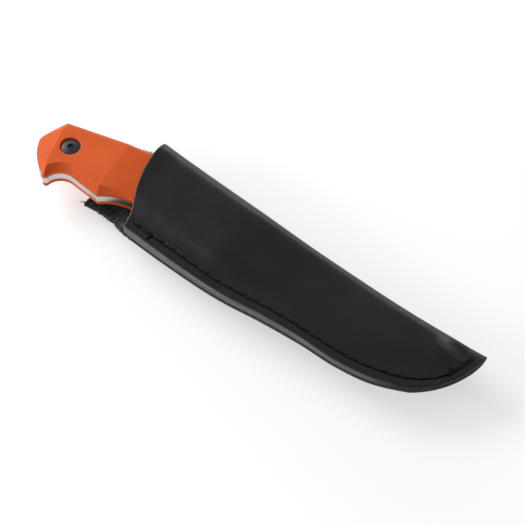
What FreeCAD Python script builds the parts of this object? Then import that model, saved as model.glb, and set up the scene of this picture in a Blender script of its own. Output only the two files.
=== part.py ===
import FreeCAD, Part
import math
import os

# Rigging knife in a folded leather pouch sheath.
# X runs from the handle butt to the sheath toe, parallel to the sheath fold.
# Y runs towards the spine of the knife and the fold, Z is up off the display face.
# Everything is drawn about the mid-plane of the tang (Z = 0) and moved at the end so
# that the origin is the middle of the footprint on the plane the sheath rests on.

V = FreeCAD.Vector
UP = V(0, 0, 1)

# ---- steel -----------------------------------------------------------------------
TANG = 3.5                      # steel thickness
HALF_TANG = TANG / 2
BLADE_SPINE_Y = 14.4
EDGE_Y = -9.8                   # straight part of the cutting edge
EDGE_HALF = 0.12                # half thickness left at the edge
GRIND_HEIGHT = 11.0             # width of the flat grind, edge to shoulder
PLUNGE_X = -3.0                 # where the grind starts in front of the scales
BELLY_RADIUS = 45.0
TIP_X = 86.5
TIP_Y = 11.8
POINT_DROP_X = 62.0             # spine starts falling to the point here
GUARD_NOSE = (-11.0, -15.2)
JIMPING_PITCH = 1.6
JIMPING_RADIUS = 0.45
JIMPING_COUNT = 6
ENVELOPE = 200.0                # blocks larger than the knife, for trimming it
ENVELOPE_HALF_HEIGHT = 10.0

# ---- handle scales ---------------------------------------------------------------
SCALE = 4.75                    # scale thickness at the crest
LIP = 2.1                       # square lip left standing beside the tang
BEVEL = SCALE - LIP             # 45 degree bevel above the lip
CREST = HALF_TANG + SCALE
LIP_TOP = HALF_TANG + LIP
FRONT_FACET_TILT = math.tan(math.radians(7.0))
FRONT_FLAT = 4.4                # height of the face once the front facet has run out
BUTT_FACET_TILT = 0.379
BUTT_TOP = (-110.2, 1.5)
BUTT_REAR = (-114.3, -12.2)
BUTT_LOW = (-102.0, -24.9)
BUTT_MID_TOP = (-113.4, -5.2)
BUTT_MID_LOW = (-110.5, -18.4)
BUMP_LOW = (-99.7, -25.9)
BUMP_BEVEL = ((-98.0, -26.0), (-102.5, -25.9))
SPINE_KINK = (-81.4, 9.7)
SPINE_MID = (-69.9, 11.8)
SPINE_FLAT = (-55.0, 12.8)
FRONT_TOP = (-10.0, 12.8)
FRONT_LOW = (-16.0, -11.0)
HOLLOW_CENTRE = (-91.0, -26.1)  # little-finger hollow
HOLLOW_RADIUS = 8.1
HOLLOW_START_X = -98.8
HOLLOW_MID_X = -96.6
CUSP = (-75.5, -18.9)           # point between the two finger hollows
CHOIL_MID = (-67.6, -13.9)
CHOIL_END = (-57.0, -12.1)

# ---- ridges between the facets ----------------------------------------------------
BUTT_RIDGE_TOP = (-109.3, 0.0)
BUTT_RIDGE_LOW = (-102.6, -20.5)
FRONT_RIDGE_TOP = (-80.2, 7.9)
FRONT_RIDGE_LOW = (-76.2, -16.4)
CORNER = 6.0                    # bevels run on this far past a corner
FACET_REACH = 30.0              # the facet cutters run on this far past the scale
FACET_LENGTH = 90.0
FRONT_FACET_RUN = 120.0
FACET_HEAD = 12.0               # height of the cutters above the faces they leave
BEVEL_HEAD = 8.0
HOLLOW_BEVEL_OVER = 3.0         # the round cutters start this far below the lip
BORE_REACH = 20.0

# ---- thumb ramp and guard ---------------------------------------------------------
RAMP_START = (-80.4, 10.0)
RAMP_FOOT = (-79.6, 11.1)
RAMP_TOP = (-69.0, 15.2)
SPINE_SETTLED = (-52.0, BLADE_SPINE_Y)
GUARD_FRONT = (-6.5, -11.6)
POINT_MID = (75.0, 13.75)

# ---- binding screws --------------------------------------------------------------
REAR_SCREW = (-99.7, -8.3)
FRONT_SCREW = (-27.0, 0.0)
HEAD_RADIUS = 4.25
COUNTERBORE_RADIUS = 4.45
COUNTERBORE_RIM = 0.25
COUNTERBORE_DEPTH = 1.5
BARREL_SHORT = 0.4              # barrel ends this far below the screw head
HEAD_FLANGE = 0.7               # straight part of the head
HEAD_DOME = 0.75                # dome above it
BARREL_RADIUS = 3.0
BARREL_BORE = 2.0
BARREL_CLEAR = 0.05
SHANK_CLEAR = 0.02
SOCKET_RADIUS = 1.15
LOBE_RADIUS = 0.38
SOCKET_DEPTH = 1.0
SOCKET_LOBES = 6

# ---- sheath ----------------------------------------------------------------------
LEATHER = 2.3
POUCH_HALF = FRONT_FLAT + 0.45  # inside half height over the handle, with air to slide
BLADE_HALF = HALF_TANG + 0.4    # inside half height over the blade
TOE_HALF = 0.3
FRONT_DROP_X = (-18.0, 20.0)    # display wall comes down from handle to blade here
BACK_DROP_X = (18.0, 52.0)      # back wall does the same in front of the belt loop
TOE_PINCH_X = (84.0, 94.0)      # both walls close up in front of the point
MOUTH_FLARE = 0.85              # display wall opens by this much at the mouth
MOUTH_FLARE_X = (-58.0, -72.0)
TONGUE_DROP = 2.2               # tongue leans away from the handle by this much
TONGUE_DROP_X = (-58.0, -80.0)
TONGUE_EDGE_DROP = 5.2          # its stitched-side edge, free past the seam, falls further
TONGUE_EDGE_X = (-57.0, -72.0)
CLIMB_HANDLE = 8.0              # width over which a wall climbs from the seam to its face
CLIMB_BLADE = 14.0
FOLD_DEPTH_HANDLE = 6.0         # depth of the rounded fold
FOLD_DEPTH_BLADE = 2.6
FOLD_DEPTH_X = (-20.0, 25.0)
CLIMB_HOLD = 0.33               # share of the climb that stays level at each end
CLIMB_LEAST = 2.0
FACE_LEAST = 1.0                # level width always left between climb and fold
ELLIPSE = 0.5523                # control arm of a quarter ellipse
WELT_HALF_MOUTH = 1.6           # half thickness of the welt at WELT_MOUTH_X
WELT_MOUTH_X = -50.0
WELT_TAPER = 1.4 / 150.0
WELT_GAP = 0.03
WELT_TOP_Y = 16.3               # the welt stops short of the fold at the toe
FOLD_LOW_X = 45.0               # fold runs in a very shallow bow, closest here
FOLD_LOW_Y = 18.3
FOLD_RISE_MOUTH = 2.2
FOLD_RISE_TOE = 2.7
FOLD_RUN_MOUTH = 114.0
FOLD_RUN_TOE = 55.0
TOE = (100.3, 22.5)
TOE_MID = (95.3, 2.2)
BAND_HANDLE_Y = -18.0           # inner edge of the stitched band, handle end
BAND_BLADE_Y = -14.0            # and along the blade
BAND_SHIFT_X = (-8.0, 32.0)
TOE_CURVE_X = 40.0              # the stitched band starts curving up to the toe here
TOE_CURVE_LENGTH = 52.0
TOE_CURVE_RISE = 24.0
SEAM_CORNER = (-56.0, -24.3)
SEAM_EDGE = [SEAM_CORNER, (-30.0, -25.1), (-3.0, -24.5), (16.0, -22.1), (36.0, -20.4),
             (54.0, -19.8), (70.0, -17.0), (84.0, -10.9)]
STITCH_LINE = [(-54.0, -20.2), (-30.0, -20.25), (-6.0, -20.3), (10.0, -18.3), (26.0, -16.5),
               (45.0, -15.9), (60.0, -14.5), (72.0, -11.5), (82.0, -7.2), (90.0, -0.3),
               (94.6, 8.4), (96.3, 15.2)]
WELT_INSIDE = [(-57.5, -18.2), (-30.0, -18.2), (-6.0, -18.2), (12.0, -16.0), (28.0, -14.4),
               (45.0, -13.8), (60.0, -12.2), (71.0, -9.4), (80.0, -5.6), (87.6, 1.0),
               (91.9, 9.6), (93.5, 16.5)]
MOUTH_LINE = [SEAM_CORNER, (-58.3, -16.6), (-64.2, -4.8), (-67.9, 7.0), (-69.4, 21.0)]
TONGUE_STEP = [SEAM_CORNER, (-58.9, -23.7), (-64.5, -21.2)]
TONGUE_EDGE_MID = (-73.0, -19.8)
TONGUE_CORNER_LOW = (-82.2, -20.7)
TONGUE_CORNER_HIGH = (-82.2, 9.5)
TONGUE_SHOULDER = (-76.0, 14.0)
SECTION_OUT_Y = -36.0           # sections run out past the stitched edge, then are trimmed
TRIM_HEIGHT = 30.0
TRIM_OUT_Y = 40.0
MOUTH_CUT_REACH = 50.0
MOUTH_CUT_Z = -0.4              # the mouth is cut down to here, just under the fold line
STATIONS = [-88, -80, -76, -72, -68, -64.5, -61.5, -59, -57, -55, -52, -46, -38, -18, -8, 1, 10, 20,
            36, 52, 68, 84, 90, 97, 104]

# ---- thread ----------------------------------------------------------------------
THREAD_RADIUS = 0.4
THREAD_CLEAR = 0.06
THREAD_BEND = 0.5               # centre-line radius where a run turns into its legs
FIRST_STITCH = 4.3
EVEN_STITCHES = 26              # stitches of equal length after the short first one
LOOP_PITCH = 6.25
LEG_OFFSET = 0.55               # the legs of neighbouring stitches stand side by side
BACK_TACKS = 2
BACK_TACK_SHIFT = 0.5
HOLE_RADIUS = THREAD_RADIUS + THREAD_CLEAR

# ---- belt loop -------------------------------------------------------------------
LOOP_WIDTH = 20.0
LOOP_Y = 1.0                    # middle of the strap
LOOP_GAP = 5.0
LOOP_REAR_X = -56.0
LOOP_FRONT_X = 14.0
LOOP_PAD = 11.0                 # sewn length at each end
LOOP_RAMP = 8.0
LOOP_RAMP_STEPS = 6
LOOP_ROWS = (3.0, 8.0)          # rows of stitches, from the end of the strap
LOOP_STITCHES = 3
LOOP_SEAT = 0.05                # strap stands this far off the pouch
BACK_OUTER = -(POUCH_HALF + LEATHER)


def smooth(t):
    t = min(1.0, max(0.0, t))
    return t * t * (3 - 2 * t)


def blend(x, x0, x1, a, b):
    return a + (b - a) * smooth((x - x0) / (x1 - x0))


def vec(p, z=0.0):
    return V(p[0], p[1], z)


def line(p, q):
    return Part.makeLine(vec(p), vec(q))


def arc(p, m, q):
    return Part.Arc(vec(p), vec(m), vec(q)).toShape()


def turn(start, middle, end):
    return Part.Arc(start, middle, end).toShape()


def spline(points):
    curve = Part.BSplineCurve()
    curve.interpolate([vec(p) for p in points])
    return curve.toShape()


def prism(edges, z0, z1):
    face = Part.Face(Part.Wire(edges))
    face.translate(V(0, 0, z0))
    return face.extrude(V(0, 0, z1 - z0))


def cylinder(p, radius, z0, z1):
    return Part.makeCylinder(radius, z1 - z0, vec(p, z0), UP)


def circle_through(p, m, q):
    circle = arc(p, m, q).Curve
    return (circle.Center.x, circle.Center.y), circle.Radius


# ---- handle scale ------------------------------------------------------------------

def on_hollow(x):
    dx = x - HOLLOW_CENTRE[0]
    return (x, HOLLOW_CENTRE[1] + math.sqrt(HOLLOW_RADIUS ** 2 - dx * dx))


HOLLOW_START = on_hollow(HOLLOW_START_X)
HOLLOW_MID = on_hollow(HOLLOW_MID_X)
HOLLOW_TOP = on_hollow(HOLLOW_CENTRE[0])


def belly_edges():
    """Outline of the handle from the butt, along the belly, to the front of the scales."""
    return [
        arc(BUTT_TOP, BUTT_MID_TOP, BUTT_REAR),
        arc(BUTT_REAR, BUTT_MID_LOW, BUTT_LOW),
        arc(BUTT_LOW, BUMP_LOW, HOLLOW_START),
        arc(HOLLOW_START, HOLLOW_MID, HOLLOW_TOP),
        line(HOLLOW_TOP, CUSP),
        arc(CUSP, CHOIL_MID, CHOIL_END),
        line(CHOIL_END, FRONT_LOW),
    ]


def scale_outline():
    return belly_edges() + [
        line(FRONT_LOW, FRONT_TOP),
        line(FRONT_TOP, SPINE_FLAT),
        line(SPINE_FLAT, SPINE_MID),
        line(SPINE_MID, SPINE_KINK),
        line(SPINE_KINK, BUTT_TOP),
    ]


def slope_cutter(p, q, top, tilt, reach):
    """Removes what stands above a plane that leaves the line p-q at height top.

    The plane falls by tilt per millimetre towards the left of p-q."""
    along = vec(q) - vec(p)
    length = along.Length
    along.normalize()
    out = UP.cross(along)
    start = vec(p) - along * reach
    base = start + UP * top
    pts = [base, base + out * reach - UP * (tilt * reach)]
    pts.append(pts[1] + UP * (tilt * reach + FACET_HEAD))
    pts.append(base + UP * FACET_HEAD)
    face = Part.Face(Part.makePolygon(pts + [pts[0]]))
    return face.extrude(along * (length + 2 * reach))


def edge_bevel(p, q, over_p, over_q):
    """45 degree bevel inwards from an outline edge, the inside being right of p-q.

    over_p and over_q carry the cutter past the ends, where the outline turns a corner."""
    along = vec(q) - vec(p)
    length = along.Length
    along.normalize()
    inside = along.cross(UP)
    start = vec(p, LIP_TOP) - along * over_p
    over = inside * BEVEL_HEAD
    up = UP * BEVEL_HEAD
    pts = [start - over - up, start + over + up, start - over + up]
    face = Part.Face(Part.makePolygon(pts + [pts[0]]))
    return face.extrude(along * (length + over_p + over_q))


def hollow_bevel(centre, radius):
    low = LIP_TOP - HOLLOW_BEVEL_OVER
    height = BEVEL + 2 * HOLLOW_BEVEL_OVER
    low_radius = radius - HOLLOW_BEVEL_OVER
    return Part.makeCone(low_radius, low_radius + height, height, vec(centre, low), UP)


def scale_blank():
    body = prism(scale_outline(), HALF_TANG, CREST)
    choil_centre, choil_radius = circle_through(CUSP, CHOIL_MID, CHOIL_END)
    cutters = [
        hollow_bevel(HOLLOW_CENTRE, HOLLOW_RADIUS),
        hollow_bevel(choil_centre, choil_radius),
        edge_bevel(CUSP, HOLLOW_TOP, CORNER, 0.0),
        edge_bevel(FRONT_LOW, CHOIL_END, CORNER, 0.0),
        edge_bevel(FRONT_TOP, FRONT_LOW, CORNER, CORNER),
        edge_bevel(SPINE_FLAT, FRONT_TOP, CORNER, CORNER),
        edge_bevel(SPINE_MID, SPINE_FLAT, CORNER, CORNER),
        edge_bevel(SPINE_KINK, SPINE_MID, CORNER, CORNER),
        edge_bevel(BUTT_TOP, SPINE_KINK, CORNER, CORNER),
        edge_bevel(BUTT_REAR, BUTT_TOP, CORNER, CORNER),
        edge_bevel(BUTT_MID_LOW, BUTT_REAR, CORNER, CORNER),
        edge_bevel(BUTT_LOW, BUTT_MID_LOW, CORNER, CORNER),
        edge_bevel(BUMP_BEVEL[0], BUMP_BEVEL[1], 0.0, CORNER),
        slope_cutter(BUTT_RIDGE_LOW, BUTT_RIDGE_TOP, CREST, BUTT_FACET_TILT, FACET_REACH),
        front_facet(),
    ]
    for cutter in cutters:
        body = body.cut(cutter)
    return body


def front_facet():
    """Face falls away in front of the ridge, then runs level to the front end."""
    run = (CREST - FRONT_FLAT) / FRONT_FACET_TILT
    along = vec(FRONT_RIDGE_TOP) - vec(FRONT_RIDGE_LOW)
    along.normalize()
    out = along.cross(UP)
    start = vec(FRONT_RIDGE_LOW) - along * FACET_REACH
    pts = [
        start + UP * CREST,
        start + out * run + UP * FRONT_FLAT,
        start + out * FRONT_FACET_RUN + UP * FRONT_FLAT,
        start + out * FRONT_FACET_RUN + UP * FACET_HEAD,
        start + UP * FACET_HEAD,
    ]
    face = Part.Face(Part.makePolygon(pts + [pts[0]]))
    return face.extrude(along * FACET_LENGTH)


def screw_bore(p, face_height):
    """Hole for the barrel and, above it, the counterbore of a head."""
    seat = face_height - COUNTERBORE_DEPTH
    hole = cylinder(p, BARREL_RADIUS + BARREL_CLEAR, -BORE_REACH, BORE_REACH)
    pocket = cylinder(p, COUNTERBORE_RADIUS, seat, BORE_REACH)
    rim_r = COUNTERBORE_RADIUS + COUNTERBORE_RIM
    rim = Part.makeCone(COUNTERBORE_RADIUS, rim_r, COUNTERBORE_RIM,
                        vec(p, face_height - COUNTERBORE_RIM), UP)
    return hole.fuse([pocket, rim])


def handle_scale(side):
    """side is 1 for the display face, -1 for the back."""
    body = scale_blank()
    body = body.cut(screw_bore(REAR_SCREW, CREST))
    body = body.cut(screw_bore(FRONT_SCREW, FRONT_FLAT))
    if side < 0:
        body = body.mirror(V(0, 0, 0), UP)
    return body


# ---- blade ---------------------------------------------------------------------------

def blade_outline():
    """Full tang and blade in one outline."""
    belly_start_x = TIP_X - math.sqrt(BELLY_RADIUS ** 2 - (BELLY_RADIUS - TIP_Y + EDGE_Y) ** 2)
    centre = (belly_start_x, EDGE_Y + BELLY_RADIUS)
    half = math.atan2(TIP_X - centre[0], centre[1] - TIP_Y) / 2
    mid_x = centre[0] + BELLY_RADIUS * math.sin(half)
    belly_mid = (mid_x, centre[1] - BELLY_RADIUS * math.cos(half))
    edges = belly_edges() + [
        line(FRONT_LOW, GUARD_NOSE),
        line(GUARD_NOSE, GUARD_FRONT),
        line(GUARD_FRONT, (PLUNGE_X, EDGE_Y)),
        line((PLUNGE_X, EDGE_Y), (belly_start_x, EDGE_Y)),
        arc((belly_start_x, EDGE_Y), belly_mid, (TIP_X, TIP_Y)),
        arc((TIP_X, TIP_Y), POINT_MID, (POINT_DROP_X, BLADE_SPINE_Y)),
        line((POINT_DROP_X, BLADE_SPINE_Y), SPINE_SETTLED),
        line(SPINE_SETTLED, RAMP_TOP),
        line(RAMP_TOP, RAMP_FOOT),
        line(RAMP_FOOT, RAMP_START),
        line(RAMP_START, SPINE_KINK),
        line(SPINE_KINK, BUTT_TOP),
    ]
    return edges, centre


def grind_envelope(centre):
    """All inside the flat grind: a wedge along the straight edge, a cone round the belly."""
    far = ENVELOPE / 2
    low_corner = V(PLUNGE_X - ENVELOPE, -far, -ENVELOPE_HALF_HEIGHT)
    tang_block = Part.makeBox(ENVELOPE, ENVELOPE, 2 * ENVELOPE_HALF_HEIGHT, low_corner)
    shoulder_y = EDGE_Y + GRIND_HEIGHT
    section = [
        V(PLUNGE_X, EDGE_Y, EDGE_HALF),
        V(PLUNGE_X, shoulder_y, HALF_TANG),
        V(PLUNGE_X, far, HALF_TANG),
        V(PLUNGE_X, far, -HALF_TANG),
        V(PLUNGE_X, shoulder_y, -HALF_TANG),
        V(PLUNGE_X, EDGE_Y, -EDGE_HALF),
    ]
    face = Part.Face(Part.makePolygon(section + [section[0]]))
    wedge = face.extrude(V(centre[0] - PLUNGE_X, 0, 0))
    inner = BELLY_RADIUS - GRIND_HEIGHT
    grind = HALF_TANG - EDGE_HALF
    top = Part.makeCone(BELLY_RADIUS, inner, grind, vec(centre, EDGE_HALF), UP)
    bottom = Part.makeCone(inner, BELLY_RADIUS, grind, vec(centre, -HALF_TANG), UP)
    middle = Part.makeCylinder(BELLY_RADIUS, 2 * EDGE_HALF, vec(centre, -EDGE_HALF), UP)
    ahead_corner = V(centre[0], -far, -ENVELOPE_HALF_HEIGHT)
    ahead = Part.makeBox(ENVELOPE, ENVELOPE, 2 * ENVELOPE_HALF_HEIGHT, ahead_corner)
    belly = top.fuse([bottom, middle]).common(ahead)
    return tang_block.fuse([wedge, belly])


def knife_blade():
    edges, centre = blade_outline()
    body = prism(edges, -HALF_TANG, HALF_TANG)
    body = body.common(grind_envelope(centre))
    ramp = vec(RAMP_TOP) - vec(RAMP_FOOT)
    ramp.normalize()
    for i in range(JIMPING_COUNT):
        at = vec(RAMP_FOOT) + ramp * (JIMPING_PITCH * (i + 1))
        body = body.cut(Part.makeCylinder(JIMPING_RADIUS, TANG + 2, at - UP * (HALF_TANG + 1), UP))
    for p in (REAR_SCREW, FRONT_SCREW):
        body = body.cut(cylinder(p, BARREL_RADIUS + BARREL_CLEAR, -HALF_TANG - 1, HALF_TANG + 1))
    return body.removeSplitter()


# ---- binding screws ---------------------------------------------------------------------

def head(p, seat):
    """Flat-bottomed head with a shallow dome, seat being the height it bears on."""
    flange = cylinder(p, HEAD_RADIUS, seat, seat + HEAD_FLANGE)
    sphere_r = (HEAD_RADIUS ** 2 + HEAD_DOME ** 2) / (2 * HEAD_DOME)
    ball = Part.makeSphere(sphere_r, vec(p, seat + HEAD_FLANGE + HEAD_DOME - sphere_r))
    above = cylinder(p, HEAD_RADIUS, seat + HEAD_FLANGE, BORE_REACH)
    return flange.fuse(ball.common(above))


def socket(p, top):
    """Six-lobed drive socket."""
    low = top - SOCKET_DEPTH
    body = cylinder(p, SOCKET_RADIUS, low, top + 1)
    for i in range(SOCKET_LOBES):
        a = 2 * math.pi * i / SOCKET_LOBES
        lobe = (p[0] + SOCKET_RADIUS * math.cos(a), p[1] + SOCKET_RADIUS * math.sin(a))
        body = body.fuse(cylinder(lobe, LOBE_RADIUS, low, top + 1))
    return body


def binding_screw(p, face_height):
    seat = face_height - COUNTERBORE_DEPTH
    top = seat + HEAD_FLANGE + HEAD_DOME
    body = head(p, seat).cut(socket(p, top))
    shank_end = -face_height + COUNTERBORE_DEPTH
    return body.fuse(cylinder(p, BARREL_BORE - SHANK_CLEAR, shank_end, seat))


def barrel_nut(p, face_height):
    seat = face_height - COUNTERBORE_DEPTH
    top = seat + HEAD_FLANGE + HEAD_DOME
    cap = head(p, seat).cut(socket(p, top)).mirror(V(0, 0, 0), UP)
    tube = cylinder(p, BARREL_RADIUS, -seat, seat - BARREL_SHORT)
    body = cap.fuse(tube)
    return body.cut(cylinder(p, BARREL_BORE, -seat, seat))


# ---- sheath skins ---------------------------------------------------------------------

def fold_y(x):
    """Outermost line of the fold."""
    if x < FOLD_LOW_X:
        return FOLD_LOW_Y + FOLD_RISE_MOUTH * ((FOLD_LOW_X - x) / FOLD_RUN_MOUTH) ** 2
    return FOLD_LOW_Y + FOLD_RISE_TOE * ((x - FOLD_LOW_X) / FOLD_RUN_TOE) ** 2


def welt_half(x):
    return WELT_HALF_MOUTH - (x - WELT_MOUTH_X) * WELT_TAPER


def pouch_half(x, drop_x, spread, spread_x):
    """Inside half height of a wall: for the handle, past drop_x for the blade, nil at the toe."""
    opening = POUCH_HALF + blend(x, spread_x[0], spread_x[1], 0.0, spread)
    opening -= blend(x, drop_x[0], drop_x[1], 0.0, POUCH_HALF - BLADE_HALF)
    return opening - blend(x, TOE_PINCH_X[0], TOE_PINCH_X[1], 0.0, BLADE_HALF - TOE_HALF)


def band_y(x):
    """Inner edge of the stitched band, where the walls start to part."""
    u = min(1.0, max(0.0, (x - TOE_CURVE_X) / TOE_CURVE_LENGTH))
    straight = blend(x, BAND_SHIFT_X[0], BAND_SHIFT_X[1], BAND_HANDLE_Y, BAND_BLADE_Y)
    return straight + TOE_CURVE_RISE * (1 - math.sqrt(1 - u * u))


def half_section(x, half, climb, extra, side):
    """Curves of one wall at x, from the stitched side to the fold, as lists of control points.

    half is the inside half height, climb the width over which the wall rises to it, extra
    is 0 for the inside skin and LEATHER for the outside, side is 1 or -1."""
    low = welt_half(x) + extra
    if side < 0:
        low += blend(x, TONGUE_EDGE_X[0], TONGUE_EDGE_X[1], 0.0, TONGUE_EDGE_DROP)
    high = half + extra
    start = band_y(x)
    depth = blend(x, FOLD_DEPTH_X[0], FOLD_DEPTH_X[1], FOLD_DEPTH_HANDLE, FOLD_DEPTH_BLADE) + extra
    apex = fold_y(x) - LEATHER + extra
    crown = apex - depth
    climb = min(climb, max(CLIMB_LEAST, crown - start - FACE_LEAST))
    level = start + climb
    hold = climb * CLIMB_HOLD
    curves = [
        [(SECTION_OUT_Y, low), (start, low)],
        [(start, low), (start + hold, low), (level - hold, high), (level, high)],
        [(level, high), (crown, high)],
        [(crown, high), (crown + depth * ELLIPSE, high), (apex, high * ELLIPSE), (apex, 0.0)],
    ]
    return [[V(x, y, side * z) for y, z in curve] for curve in curves]


def curve_edge(points):
    curve = Part.BezierCurve()
    curve.setPoles(points)
    return curve.toShape()


def section(x, extra):
    front_half = pouch_half(x, FRONT_DROP_X, MOUTH_FLARE, MOUTH_FLARE_X)
    back_half = pouch_half(x, BACK_DROP_X, TONGUE_DROP, TONGUE_DROP_X)
    front_climb = blend(x, FRONT_DROP_X[0], FRONT_DROP_X[1], CLIMB_HANDLE, CLIMB_BLADE)
    back_climb = blend(x, BACK_DROP_X[0], BACK_DROP_X[1], CLIMB_HANDLE, CLIMB_BLADE)
    front = half_section(x, front_half, front_climb, extra, 1)
    back = half_section(x, back_half, back_climb, extra, -1)
    edges = [curve_edge(points) for points in front]
    edges += [curve_edge(points[::-1]) for points in reversed(back)]
    edges.append(Part.makeLine(back[0][0], front[0][0]))
    return Part.Wire(edges)


def skin(extra):
    return Part.makeLoft([section(x, extra) for x in STATIONS], True, False)


# ---- sheath leather -------------------------------------------------------------------

def panel_area():
    """Outline of the whole back wall, with the tongue; the front wall ends at the mouth."""
    toe_out = (TOE[0], TRIM_OUT_Y)
    mouth_out = (MOUTH_LINE[-1][0], TRIM_OUT_Y)
    return prism([
        spline(SEAM_EDGE),
        arc(SEAM_EDGE[-1], TOE_MID, TOE),
        line(TOE, toe_out),
        line(toe_out, mouth_out),
        line(mouth_out, MOUTH_LINE[-1]),
        line(MOUTH_LINE[-1], TONGUE_SHOULDER),
        line(TONGUE_SHOULDER, TONGUE_CORNER_HIGH),
        line(TONGUE_CORNER_HIGH, TONGUE_CORNER_LOW),
        arc(TONGUE_CORNER_LOW, TONGUE_EDGE_MID, TONGUE_STEP[-1]),
        spline(list(reversed(TONGUE_STEP))),
    ], -TRIM_HEIGHT, TRIM_HEIGHT)


def mouth_cut():
    """Everything of the front wall on the handle side of the mouth."""
    far_x = SEAM_CORNER[0] - MOUTH_CUT_REACH
    low = (SEAM_CORNER[0], SECTION_OUT_Y)
    high = (MOUTH_LINE[-1][0], TRIM_OUT_Y)
    return prism([
        line(low, SEAM_CORNER),
        spline(MOUTH_LINE),
        line(MOUTH_LINE[-1], high),
        line(high, (far_x, high[1])),
        line((far_x, high[1]), (far_x, low[1])),
        line((far_x, low[1]), low),
    ], MOUTH_CUT_Z, TRIM_HEIGHT)


def sheath_leather():
    """One piece of leather: front wall, fold, back wall and the tongue behind the handle."""
    shell = skin(LEATHER).cut(skin(0.0))
    return shell.common(panel_area()).cut(mouth_cut())


def welt_strip():
    """Tapered spacer between the two walls along the stitches."""
    strip = prism([
        spline(SEAM_EDGE),
        arc(SEAM_EDGE[-1], TOE_MID, TOE),
        line(TOE, WELT_INSIDE[-1]),
        spline(list(reversed(WELT_INSIDE))),
        line(WELT_INSIDE[0], SEAM_CORNER),
    ], -LEATHER, LEATHER)
    x0 = TONGUE_CORNER_LOW[0]
    x1 = TOE[0]
    z0 = welt_half(x0) - WELT_GAP
    z1 = welt_half(x1) - WELT_GAP
    y0 = SECTION_OUT_Y
    side = [V(x0, y0, z0), V(x1, y0, z1), V(x1, y0, -z1), V(x0, y0, -z0)]
    wedge = Part.Face(Part.makePolygon(side + [side[0]])).extrude(V(0, WELT_TOP_Y - y0, 0))
    return strip.common(wedge)


# ---- stitches ---------------------------------------------------------------------------

def stitch(p, q, run, end):
    """One stitch: a run from p to q at height run and a leg at each end down to height end."""
    sign = 1.0 if run > end else -1.0
    along = vec(q) - vec(p)
    along.normalize()
    bend = THREAD_BEND
    a = vec(p, run)
    b = vec(q, run)
    drop = UP * (-sign)
    mid_turn = 1 - math.sqrt(0.5)
    path = Part.Wire([
        Part.makeLine(vec(p, end), a + drop * bend),
        turn(a + drop * bend, a + (along + drop) * (bend * mid_turn), a + along * bend),
        Part.makeLine(a + along * bend, b - along * bend),
        turn(b - along * bend, b + (drop - along) * (bend * mid_turn), b + drop * bend),
        Part.makeLine(b + drop * bend, vec(q, end)),
    ])
    ring = Part.Wire([Part.makeCircle(THREAD_RADIUS, vec(p, end), UP)])
    return path.makePipeShell([ring], True, True)


def seam_holes():
    """Centres of the seam holes: a short first stitch, then even ones to the toe."""
    edge = spline(STITCH_LINE)
    pitch = (edge.Length - FIRST_STITCH) / EVEN_STITCHES
    lengths = [0.0] + [FIRST_STITCH + pitch * i for i in range(EVEN_STITCHES + 1)]
    points = []
    for length in lengths:
        at = edge.valueAt(edge.getParameterByLength(length))
        points.append((at.x, at.y))
    return points


def seam_runs():
    """End points of every stitch of the seam, doubled where the thread is back-tacked."""
    holes = seam_holes()
    last = len(holes) - 1
    runs = []
    for i in range(last):
        a = vec(holes[i])
        b = vec(holes[i + 1])
        along = b - a
        along.normalize()
        p = a + along * LEG_OFFSET
        q = b - along * LEG_OFFSET
        if i < BACK_TACKS or i >= last - BACK_TACKS:
            side = UP.cross(along) * BACK_TACK_SHIFT
            runs.append((p + side, q + side))
            runs.append((p - side, q - side))
        else:
            runs.append((p, q))
    return runs


def seam_stitches(face):
    """Stitches of one face of the seam; face is 1 for the display side, -1 for the back."""
    shapes = []
    for p, q in seam_runs():
        surface = max(welt_half(min(p.x, q.x)), TOE_HALF) + LEATHER
        run = face * (surface + THREAD_RADIUS + THREAD_CLEAR)
        shapes.append(stitch((p.x, p.y), (q.x, q.y), run, face * THREAD_CLEAR))
    return shapes


def seam_leg_holes():
    """Awl holes through both walls and the welt, one for each leg."""
    holes = []
    for p, q in seam_runs():
        for leg in (p, q):
            holes.append(cylinder((leg.x, leg.y), HOLE_RADIUS, -CREST, CREST))
    return holes


def loop_runs(end_x, inward):
    """End points of the stitches at one end of the belt loop."""
    runs = []
    first = LOOP_Y - LOOP_STITCHES * LOOP_PITCH / 2
    for row in LOOP_ROWS:
        x = end_x + inward * row
        for i in range(LOOP_STITCHES):
            y = first + LOOP_PITCH * i
            runs.append(((x, y + LEG_OFFSET), (x, y + LOOP_PITCH - LEG_OFFSET)))
    return runs


def all_loop_runs():
    return loop_runs(LOOP_REAR_X, 1) + loop_runs(LOOP_FRONT_X, -1)


def loop_stitches(outside):
    """Stitches of the belt loop, on the strap when outside, else sunk into the pouch wall."""
    joint = BACK_OUTER - LOOP_SEAT
    shapes = []
    for p, q in all_loop_runs():
        if outside:
            run = joint - LEATHER - THREAD_RADIUS - THREAD_CLEAR
            shapes.append(stitch(p, q, run, joint - THREAD_CLEAR))
        else:
            run = -POUCH_HALF - THREAD_RADIUS - THREAD_CLEAR
            shapes.append(stitch(p, q, run, joint + THREAD_CLEAR))
    return shapes


def loop_leg_holes():
    """Awl holes through the pouch wall and the strap, one for each leg."""
    holes = []
    for p, q in all_loop_runs():
        for leg in (p, q):
            holes.append(cylinder(leg, HOLE_RADIUS, BACK_OUTER - 2 * LEATHER, -BLADE_HALF))
    return holes


def loop_grooves():
    """Grooves in the inside of the pouch wall that keep the runs clear of the handle."""
    depth = 2 * (THREAD_RADIUS + THREAD_CLEAR)
    grooves = []
    for p, q in all_loop_runs():
        corner = V(p[0] - HOLE_RADIUS, p[1], -POUCH_HALF - depth)
        grooves.append(Part.makeBox(2 * HOLE_RADIUS, q[1] - p[1], depth + 1.0, corner))
    return grooves


# ---- belt loop ----------------------------------------------------------------------------

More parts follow.
